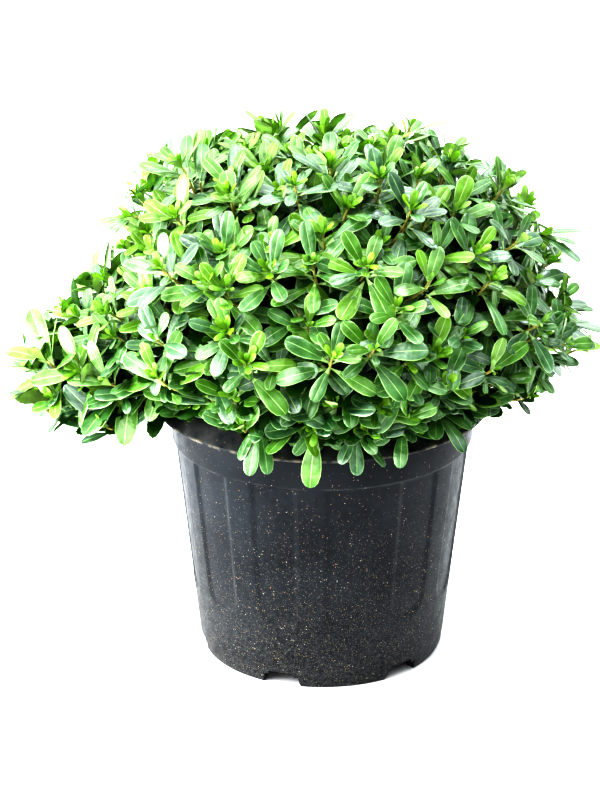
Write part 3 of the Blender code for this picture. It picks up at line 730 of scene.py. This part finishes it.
def build_soil(material):
    """Rough soil under the crown, with loose chips of bark on it."""
    rings, columns = 46, 120
    points = []
    for ring in range(rings):
        radius = 0.001 + (SOIL_RADIUS - 0.001) * ring / (rings - 1)
        for column in range(columns):
            turn = math.tau * column / columns
            x, y = math.sin(turn) * radius, -math.cos(turn) * radius
            rough = noise.noise(Vector((x * 60, y * 60, 0.3))) + 0.6 * noise.noise(Vector((x * 170, y * 170, 4.0)))
            z = SOIL_HEIGHT - 0.0018 - 0.004 * (radius / SOIL_RADIUS) ** 2 + 0.0017 * rough
            points.append((x, y, min(z, SOIL_HEIGHT)))
    row = np.arange(rings - 1)[:, None] * columns
    column = np.arange(columns)[None, :]
    after = (column + 1) % columns
    faces = np.stack([row + column, row + columns + column, row + columns + after, row + after], axis=-1)
    faces = list(faces.reshape(-1, 4))
    chance = random.Random(f"chips {SEED}")
    for _ in range(CHIP_COUNT):
        radius = SOIL_RADIUS * 0.97 * math.sqrt(chance.random())
        turn = chance.uniform(0.0, math.tau)
        middle = Vector((math.sin(turn) * radius, -math.cos(turn) * radius, SOIL_HEIGHT - 0.004))
        size = Vector((chance.uniform(0.004, 0.014), chance.uniform(0.002, 0.006), chance.uniform(0.001, 0.0026)))
        spin = Matrix.Rotation(chance.uniform(0, math.tau), 3, "Z") @ Matrix.Rotation(chance.gauss(0, 0.25), 3, "X")
        start = len(points)
        for sx, sy, sz in ((a, b, c) for c in (-0.5, 0.5) for b in (-0.5, 0.5) for a in (-0.5, 0.5)):
            points.append(tuple(middle + spin @ Vector((sx * size.x, sy * size.y, sz * size.z + 0.0012))))
        for quad in ((0, 2, 3, 1), (4, 5, 7, 6), (0, 1, 5, 4), (2, 6, 7, 3), (0, 4, 6, 2), (1, 3, 7, 5)):
            faces.append(np.array([start + corner for corner in quad]))
    soil = mesh_object("soil_surface", points, np.array(faces), np.zeros(len(faces)), [material], smooth=False)
    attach(soil, "root")
    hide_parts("soil")


# Materials

def new_material(name, roughness, specular=0.5):
    material = bpy.data.materials.new(name)
    material.use_nodes = True
    nodes = material.node_tree.nodes
    shader = nodes["Principled BSDF"]
    shader.inputs["Roughness"].default_value = roughness
    shader.inputs["Specular IOR Level"].default_value = specular
    return material, nodes, material.node_tree.links, shader


def mottled(name, dark, light, roughness, scale, specular=0.5, bump=0.0, bump_scale=400.0):
    """A surface of two near tones, mixed by noise, with a fine bump."""
    material, nodes, links, shader = new_material(name, roughness, specular)
    where = nodes.new("ShaderNodeTexCoord")
    grain = nodes.new("ShaderNodeTexNoise")
    grain.inputs["Scale"].default_value = scale
    grain.inputs["Detail"].default_value = 3.0
    ramp = nodes.new("ShaderNodeValToRGB")
    ramp.color_ramp.elements[0].position = 0.36
    ramp.color_ramp.elements[1].position = 0.66
    ramp.color_ramp.elements[0].color = (*dark, 1.0)
    ramp.color_ramp.elements[1].color = (*light, 1.0)
    links.new(where.outputs["Object"], grain.inputs["Vector"])
    links.new(grain.outputs["Fac"], ramp.inputs["Fac"])
    links.new(ramp.outputs["Color"], shader.inputs["Base Color"])
    if bump:
        fine = nodes.new("ShaderNodeTexNoise")
        fine.inputs["Scale"].default_value = bump_scale
        fine.inputs["Detail"].default_value = 4.0
        relief = nodes.new("ShaderNodeBump")
        relief.inputs["Strength"].default_value = bump
        relief.inputs["Distance"].default_value = 0.001
        links.new(where.outputs["Object"], fine.inputs["Vector"])
        links.new(fine.outputs["Fac"], relief.inputs["Height"])
        links.new(relief.outputs["Normal"], shader.inputs["Normal"])
    return material


def shade(colour, factor):
    return tuple(min(1.0, channel * factor) for channel in colour)


# Painted sheen: a whitish colour mixed into the lighter patches of a blade, more on some tones, in place of the sky's
# reflection.
LEAF_PAINTED_SHEEN = (0.62, 0.72, 0.58)
PAINTED_SHEEN_SHARE = (0.05, 0.08, 0.12, 0.12, 0.10)
GLOSS_SHARE = (0.74, 0.86, 1.05, 1.28, 1.40)


def leaf_look(name, colour, roughness=0.32, spread=0.24, painted_sheen=0.0, gloss=1.0, glow=0.0):
    """A glossy leaf: two near tones in soft patches, the lighter one mixed with a painted sheen, and a blade that isn't
    quite flat.
    """
    material, nodes, links, shader = new_material(name, roughness, 0.78 * gloss)
    shader.inputs["Coat Weight"].default_value = 0.25 * gloss
    shader.inputs["Coat Roughness"].default_value = 0.30
    shader.inputs["Subsurface Weight"].default_value = glow
    shader.inputs["Subsurface Radius"].default_value = (0.9, 1.0, 0.6)
    shader.inputs["Subsurface Scale"].default_value = 0.0025
    where = nodes.new("ShaderNodeTexCoord")
    patch = nodes.new("ShaderNodeTexNoise")
    patch.inputs["Scale"].default_value = 55.0
    patch.inputs["Detail"].default_value = 4.0
    ramp = nodes.new("ShaderNodeValToRGB")
    ramp.color_ramp.elements[0].position = 0.36
    ramp.color_ramp.elements[1].position = 0.66
    ramp.color_ramp.elements[0].color = (*shade(colour, 1.0 - spread), 1.0)
    ramp.color_ramp.elements[1].color = (*between(shade(colour, 1.0 + spread), LEAF_PAINTED_SHEEN, painted_sheen), 1.0)
    wave = nodes.new("ShaderNodeTexNoise")
    wave.inputs["Scale"].default_value = 150.0
    wave.inputs["Detail"].default_value = 2.0
    relief = nodes.new("ShaderNodeBump")
    relief.inputs["Strength"].default_value = 0.26
    relief.inputs["Distance"].default_value = 0.004
    links.new(where.outputs["Object"], patch.inputs["Vector"])
    links.new(where.outputs["Object"], wave.inputs["Vector"])
    links.new(patch.outputs["Fac"], ramp.inputs["Fac"])
    links.new(ramp.outputs["Color"], shader.inputs["Base Color"])
    links.new(wave.outputs["Fac"], relief.inputs["Height"])
    links.new(relief.outputs["Normal"], shader.inputs["Normal"])
    return material


def between(colour, other, share):
    return tuple(a + (b - a) * share for a, b in zip(colour, other))


def leaf_set(name, colours, vein, vein_share, under, under_share, gloss=1.0):
    """Blade, midrib, margin and underside materials for each tone; veins are paler, and undersides are paler partly by
    their own colour, partly as painted light coming through the leaf.
    """
    looks = {"blade": [], "rib": [], "margin": [], "under": []}
    for index, colour in enumerate(colours):
        margin = between(colour, vein, vein_share * 0.8)
        looks["blade"].append(leaf_look(f"{name}_blade_{index}", colour, painted_sheen=PAINTED_SHEEN_SHARE[index] * gloss,
                                       gloss=gloss * GLOSS_SHARE[index]))
        looks["rib"].append(leaf_look(f"{name}_midrib_{index}", between(colour, vein, vein_share), 0.38, gloss=gloss))
        looks["margin"].append(leaf_look(f"{name}_margin_{index}", margin, 0.34, gloss=gloss))
        # Paler undersides: partly the leaf's own paler underside, partly painted light coming through the leaf.
        pale = between(colour, under, under_share)
        looks["under"].append(leaf_look(f"{name}_underside_{index}", pale, 0.6, gloss=0.4, glow=0.9))
    return looks


def make_looks():
    grown = ((0.104, 0.222, 0.012), (0.062, 0.170, 0.010), (0.031, 0.127, 0.012), (0.014, 0.090, 0.018),
             (0.008, 0.062, 0.018))
    # Inner leaves: darker copies of the grown tones, with darker undersides, as painted shade for leaves deep in the
    # crown.
    inner = ((0.042, 0.120, 0.002), (0.028, 0.094, 0.001), (0.018, 0.068, 0.001), (0.011, 0.048, 0.001),
             (0.012, 0.055, 0.001))
    young = ((0.210, 0.380, 0.020), (0.150, 0.310, 0.018))
    return {
        "grown": leaf_set("leaf", grown, (0.46, 0.62, 0.28), 0.60, (0.42, 0.55, 0.24), 0.84),
        "inner": leaf_set("inner_leaf", inner, (0.30, 0.42, 0.10), 0.3, (0.13, 0.21, 0.02), 0.6, gloss=0.12),
        "young": leaf_set("young_leaf", young, (0.55, 0.68, 0.20), 0.4, (0.34, 0.52, 0.10), 0.6),
        "twig": mottled("twig_bark", (0.10, 0.070, 0.035), (0.26, 0.20, 0.10), 0.8, 120.0, 0.3, 0.5, 700.0),
        "shoot": mottled("young_shoot", (0.19, 0.18, 0.04), (0.40, 0.35, 0.11), 0.6, 120.0, 0.4, 0.3, 700.0),
        "bark": mottled("bark", (0.10, 0.075, 0.05), (0.28, 0.22, 0.16), 0.85, 160.0, 0.3, 0.8, 900.0),
    }


def soil_look():
    return mottled("potting_soil", (0.012, 0.008, 0.005), (0.075, 0.045, 0.026), 0.95, 300.0, 0.2, 0.8, 900.0)


def pot_look():
    """Black moulded plastic with dust on its ledge, a dirt line on its edge and specks of soil."""
    material, nodes, links, shader = new_material("pot_plastic", 0.4, 0.21)
    where = nodes.new("ShaderNodeTexCoord")
    split = nodes.new("ShaderNodeSeparateXYZ")
    links.new(where.outputs["Object"], split.inputs["Vector"])

    def noise_mask(scale, low, high, detail=2.0):
        texture = nodes.new("ShaderNodeTexNoise")
        texture.inputs["Scale"].default_value = scale
        texture.inputs["Detail"].default_value = detail
        links.new(where.outputs["Object"], texture.inputs["Vector"])
        return spread_out(texture.outputs["Fac"], low, high)

    def spread_out(value, low, high, bottom=0.0, top=1.0):
        step = nodes.new("ShaderNodeMapRange")
        step.inputs["From Min"].default_value = low
        step.inputs["From Max"].default_value = high
        step.inputs["To Min"].default_value = bottom
        step.inputs["To Max"].default_value = top
        links.new(value, step.inputs["Value"])
        return step.outputs["Result"]

    def times(first, second):
        product = nodes.new("ShaderNodeMath")
        product.operation = "MULTIPLY"
        links.new(first, product.inputs[0])
        links.new(second, product.inputs[1])
        return product.outputs["Value"]

    def blend_in(under, over, mask):
        mix = nodes.new("ShaderNodeMix")
        mix.data_type = "RGBA"
        links.new(mask, mix.inputs["Factor"])
        links.new(under, mix.inputs["A"])
        mix.inputs["B"].default_value = (*over, 1.0)
        return mix.outputs["Result"]

    def specks(scale, size, share_low, share_high):
        """Small round specks, more of them towards the foot."""
        cells = nodes.new("ShaderNodeTexVoronoi")
        cells.inputs["Scale"].default_value = scale
        links.new(where.outputs["Object"], cells.inputs["Vector"])
        dots = spread_out(cells.outputs["Distance"], size * 1.25, size * 0.75)
        pick = nodes.new("ShaderNodeSeparateColor")
        links.new(cells.outputs["Color"], pick.inputs["Color"])
        wanted = spread_out(split.outputs["Z"], 0.0, SPECKS_UP_TO, share_low, share_high)
        chosen = nodes.new("ShaderNodeMath")
        chosen.operation = "LESS_THAN"
        links.new(pick.outputs["Red"], chosen.inputs[0])
        links.new(wanted, chosen.inputs[1])
        return times(dots, chosen.outputs["Value"])

    base = nodes.new("ShaderNodeMix")
    base.data_type = "RGBA"
    base.inputs["A"].default_value = (0.0105, 0.0122, 0.0150, 1.0)
    base.inputs["B"].default_value = (0.0205, 0.0235, 0.0280, 1.0)
    links.new(noise_mask(14.0, 0.35, 0.7), base.inputs["Factor"])
    colour = base.outputs["Result"]
    on_ledge = times(spread_out(split.outputs["Z"], FLANGE_EDGE_HEIGHT - 0.001, FLANGE_EDGE_HEIGHT + 0.001),
                     noise_mask(45.0, 0.30, 0.75, 4.0))
    colour = blend_in(colour, (0.088, 0.088, 0.086), on_ledge)
    at_edge = times(spread_out(split.outputs["Z"], FLANGE_EDGE_HEIGHT - 0.0032, FLANGE_EDGE_HEIGHT - 0.0024),
                    spread_out(split.outputs["Z"], FLANGE_EDGE_HEIGHT + 0.0012, FLANGE_EDGE_HEIGHT - 0.0004))
    colour = blend_in(colour, (0.21, 0.185, 0.14), times(at_edge, noise_mask(60.0, 0.44, 0.72, 3.0)))
    at_foot = times(spread_out(split.outputs["Z"], BAND_FOOT_HEIGHT - 0.0002, BAND_FOOT_HEIGHT + 0.0004),
                    spread_out(split.outputs["Z"], BAND_FOOT_HEIGHT + 0.0026, BAND_FOOT_HEIGHT + 0.0010))
    colour = blend_in(colour, (0.055, 0.055, 0.054), times(at_foot, noise_mask(50.0, 0.42, 0.70, 3.0)))
    colour = blend_in(colour, (0.050, 0.055, 0.064), times(spread_out(split.outputs["Z"], 0.235, 0.215, 0.0, 0.20),
                                                           noise_mask(180.0, 0.36, 0.74, 5.0)))
    lower = spread_out(split.outputs["Z"], 0.12, 0.0, 0.0, 0.80)
    colour = blend_in(colour, (0.062, 0.064, 0.066), times(lower, noise_mask(240.0, 0.38, 0.70, 4.0)))
    colour = blend_in(colour, (0.25, 0.22, 0.17), specks(1250.0, 0.32, 0.32, 0.01))
    colour = blend_in(colour, (0.42, 0.31, 0.18), specks(640.0, 0.24, 0.12, 0.020))
    colour = blend_in(colour, (0.60, 0.55, 0.45), specks(560.0, 0.22, 0.06, 0.012))
    colour = blend_in(colour, (0.50, 0.20, 0.05), specks(560.0, 0.22, 0.018, 0.002))
    links.new(colour, shader.inputs["Base Color"])
    rough = nodes.new("ShaderNodeMapRange")
    rough.inputs["To Min"].default_value = 0.30
    rough.inputs["To Max"].default_value = 0.52
    links.new(noise_mask(90.0, 0.2, 0.8, 3.0), rough.inputs["Value"])
    links.new(rough.outputs["Result"], shader.inputs["Roughness"])
    fine = nodes.new("ShaderNodeTexNoise")
    fine.inputs["Scale"].default_value = 1400.0
    relief = nodes.new("ShaderNodeBump")
    relief.inputs["Strength"].default_value = 0.12
    relief.inputs["Distance"].default_value = 0.0005
    links.new(where.outputs["Object"], fine.inputs["Vector"])
    links.new(fine.outputs["Fac"], relief.inputs["Height"])
    links.new(relief.outputs["Normal"], shader.inputs["Normal"])
    return material


# Stage, light and camera

def build_stage():
    mesh = bpy.data.meshes.new("floor")
    size = 40.0
    mesh.from_pydata([(-size, -size, 0), (size, -size, 0), (size, size, 0), (-size, size, 0)], [], [(0, 1, 2, 3)])
    floor = bpy.data.objects.new("floor", mesh)
    bpy.context.scene.collection.objects.link(floor)
    material, _, _, shader = new_material("floor_paint", 0.9, 0.1)
    shader.inputs["Base Color"].default_value = (0.93, 0.93, 0.93, 1.0)
    mesh.materials.append(material)


def area_light(name, place, target, size, power, colour=(1.0, 1.0, 1.0)):
    light = bpy.data.lights.new(name, "AREA")
    light.shape = "RECTANGLE"
    light.size = size
    light.size_y = size
    light.energy = power
    light.color = colour
    lamp = bpy.data.objects.new(name, light)
    lamp.location = place
    lamp.rotation_euler = (Vector(target) - Vector(place)).to_track_quat("-Z", "Y").to_euler()
    bpy.context.scene.collection.objects.link(lamp)


def light_scene():
    """A pale studio: brighter above and behind, where leaves catch their sheen, and to the left."""
    world = bpy.data.worlds.new("studio")
    world.use_nodes = True
    nodes, links = world.node_tree.nodes, world.node_tree.links
    where = nodes.new("ShaderNodeTexCoord")
    slope = nodes.new("ShaderNodeVectorMath")
    slope.operation = "DOT_PRODUCT"
    slope.inputs[1].default_value = WORLD_BRIGHT_SIDE
    spread = nodes.new("ShaderNodeMapRange")
    spread.inputs["From Min"].default_value = WORLD_REACH
    spread.inputs["From Max"].default_value = 1.0
    spread.inputs["To Min"].default_value = WORLD_STRENGTH[0]
    spread.inputs["To Max"].default_value = WORLD_STRENGTH[1]
    links.new(where.outputs["Generated"], slope.inputs[0])
    links.new(slope.outputs["Value"], spread.inputs["Value"])
    links.new(spread.outputs["Result"], nodes["Background"].inputs["Strength"])
    nodes["Background"].inputs["Color"].default_value = (0.95, 0.98, 1.0, 1.0)
    bpy.context.scene.world = world
    area_light("key", (-0.95, -0.95, 1.6), (0.0, 0.0, 0.35), 1.5, 28.0, (1.0, 0.99, 0.97))
    area_light("left_window", (-1.9, -0.6, 0.42), (0.0, 0.0, 0.12), 1.2, 62.0, (0.93, 0.97, 1.0))
    area_light("front_fill", (-0.6, -3.1, 1.5), (0.0, 0.0, 0.42), 1.8, 17.0, (0.98, 0.99, 1.0))
    area_light("right_fill", (1.1, 0.3, 2.9), (0.0, 0.0, 0.4), 1.2, 38.0, (0.86, 0.95, 1.0))


def place_camera():
    pitch = math.radians(CAMERA_PITCH_DEG)
    forward = Vector((0.0, math.cos(pitch), -math.sin(pitch)))
    camera = bpy.data.cameras.new("camera")
    camera.sensor_fit = "VERTICAL"
    camera.sensor_height = SENSOR_MM
    camera.lens = CAMERA_FOCAL_PIXELS * SENSOR_MM / IMAGE_HEIGHT
    camera.clip_end = 150.0
    eye = bpy.data.objects.new("camera", camera)
    eye.location = CAMERA_TARGET - forward * CAMERA_DISTANCE
    eye.rotation_euler = forward.to_track_quat("-Z", "Y").to_euler()
    bpy.context.scene.collection.objects.link(eye)
    bpy.context.scene.camera = eye
    bpy.context.scene.view_settings.view_transform = "Standard"
    bpy.context.scene.view_settings.look = "Very High Contrast"
    bpy.context.scene.view_settings.exposure = -0.17
    bpy.context.scene.view_settings.gamma = 0.84


def main():
    place_camera()
    light_scene()
    build_stage()
    looks = make_looks()
    masses = make_masses()
    for mass in masses:
        grow_mass(mass, looks)
    build_limbs(masses, looks["bark"])
    build_pot(pot_look())
    build_soil(soil_look())


main()
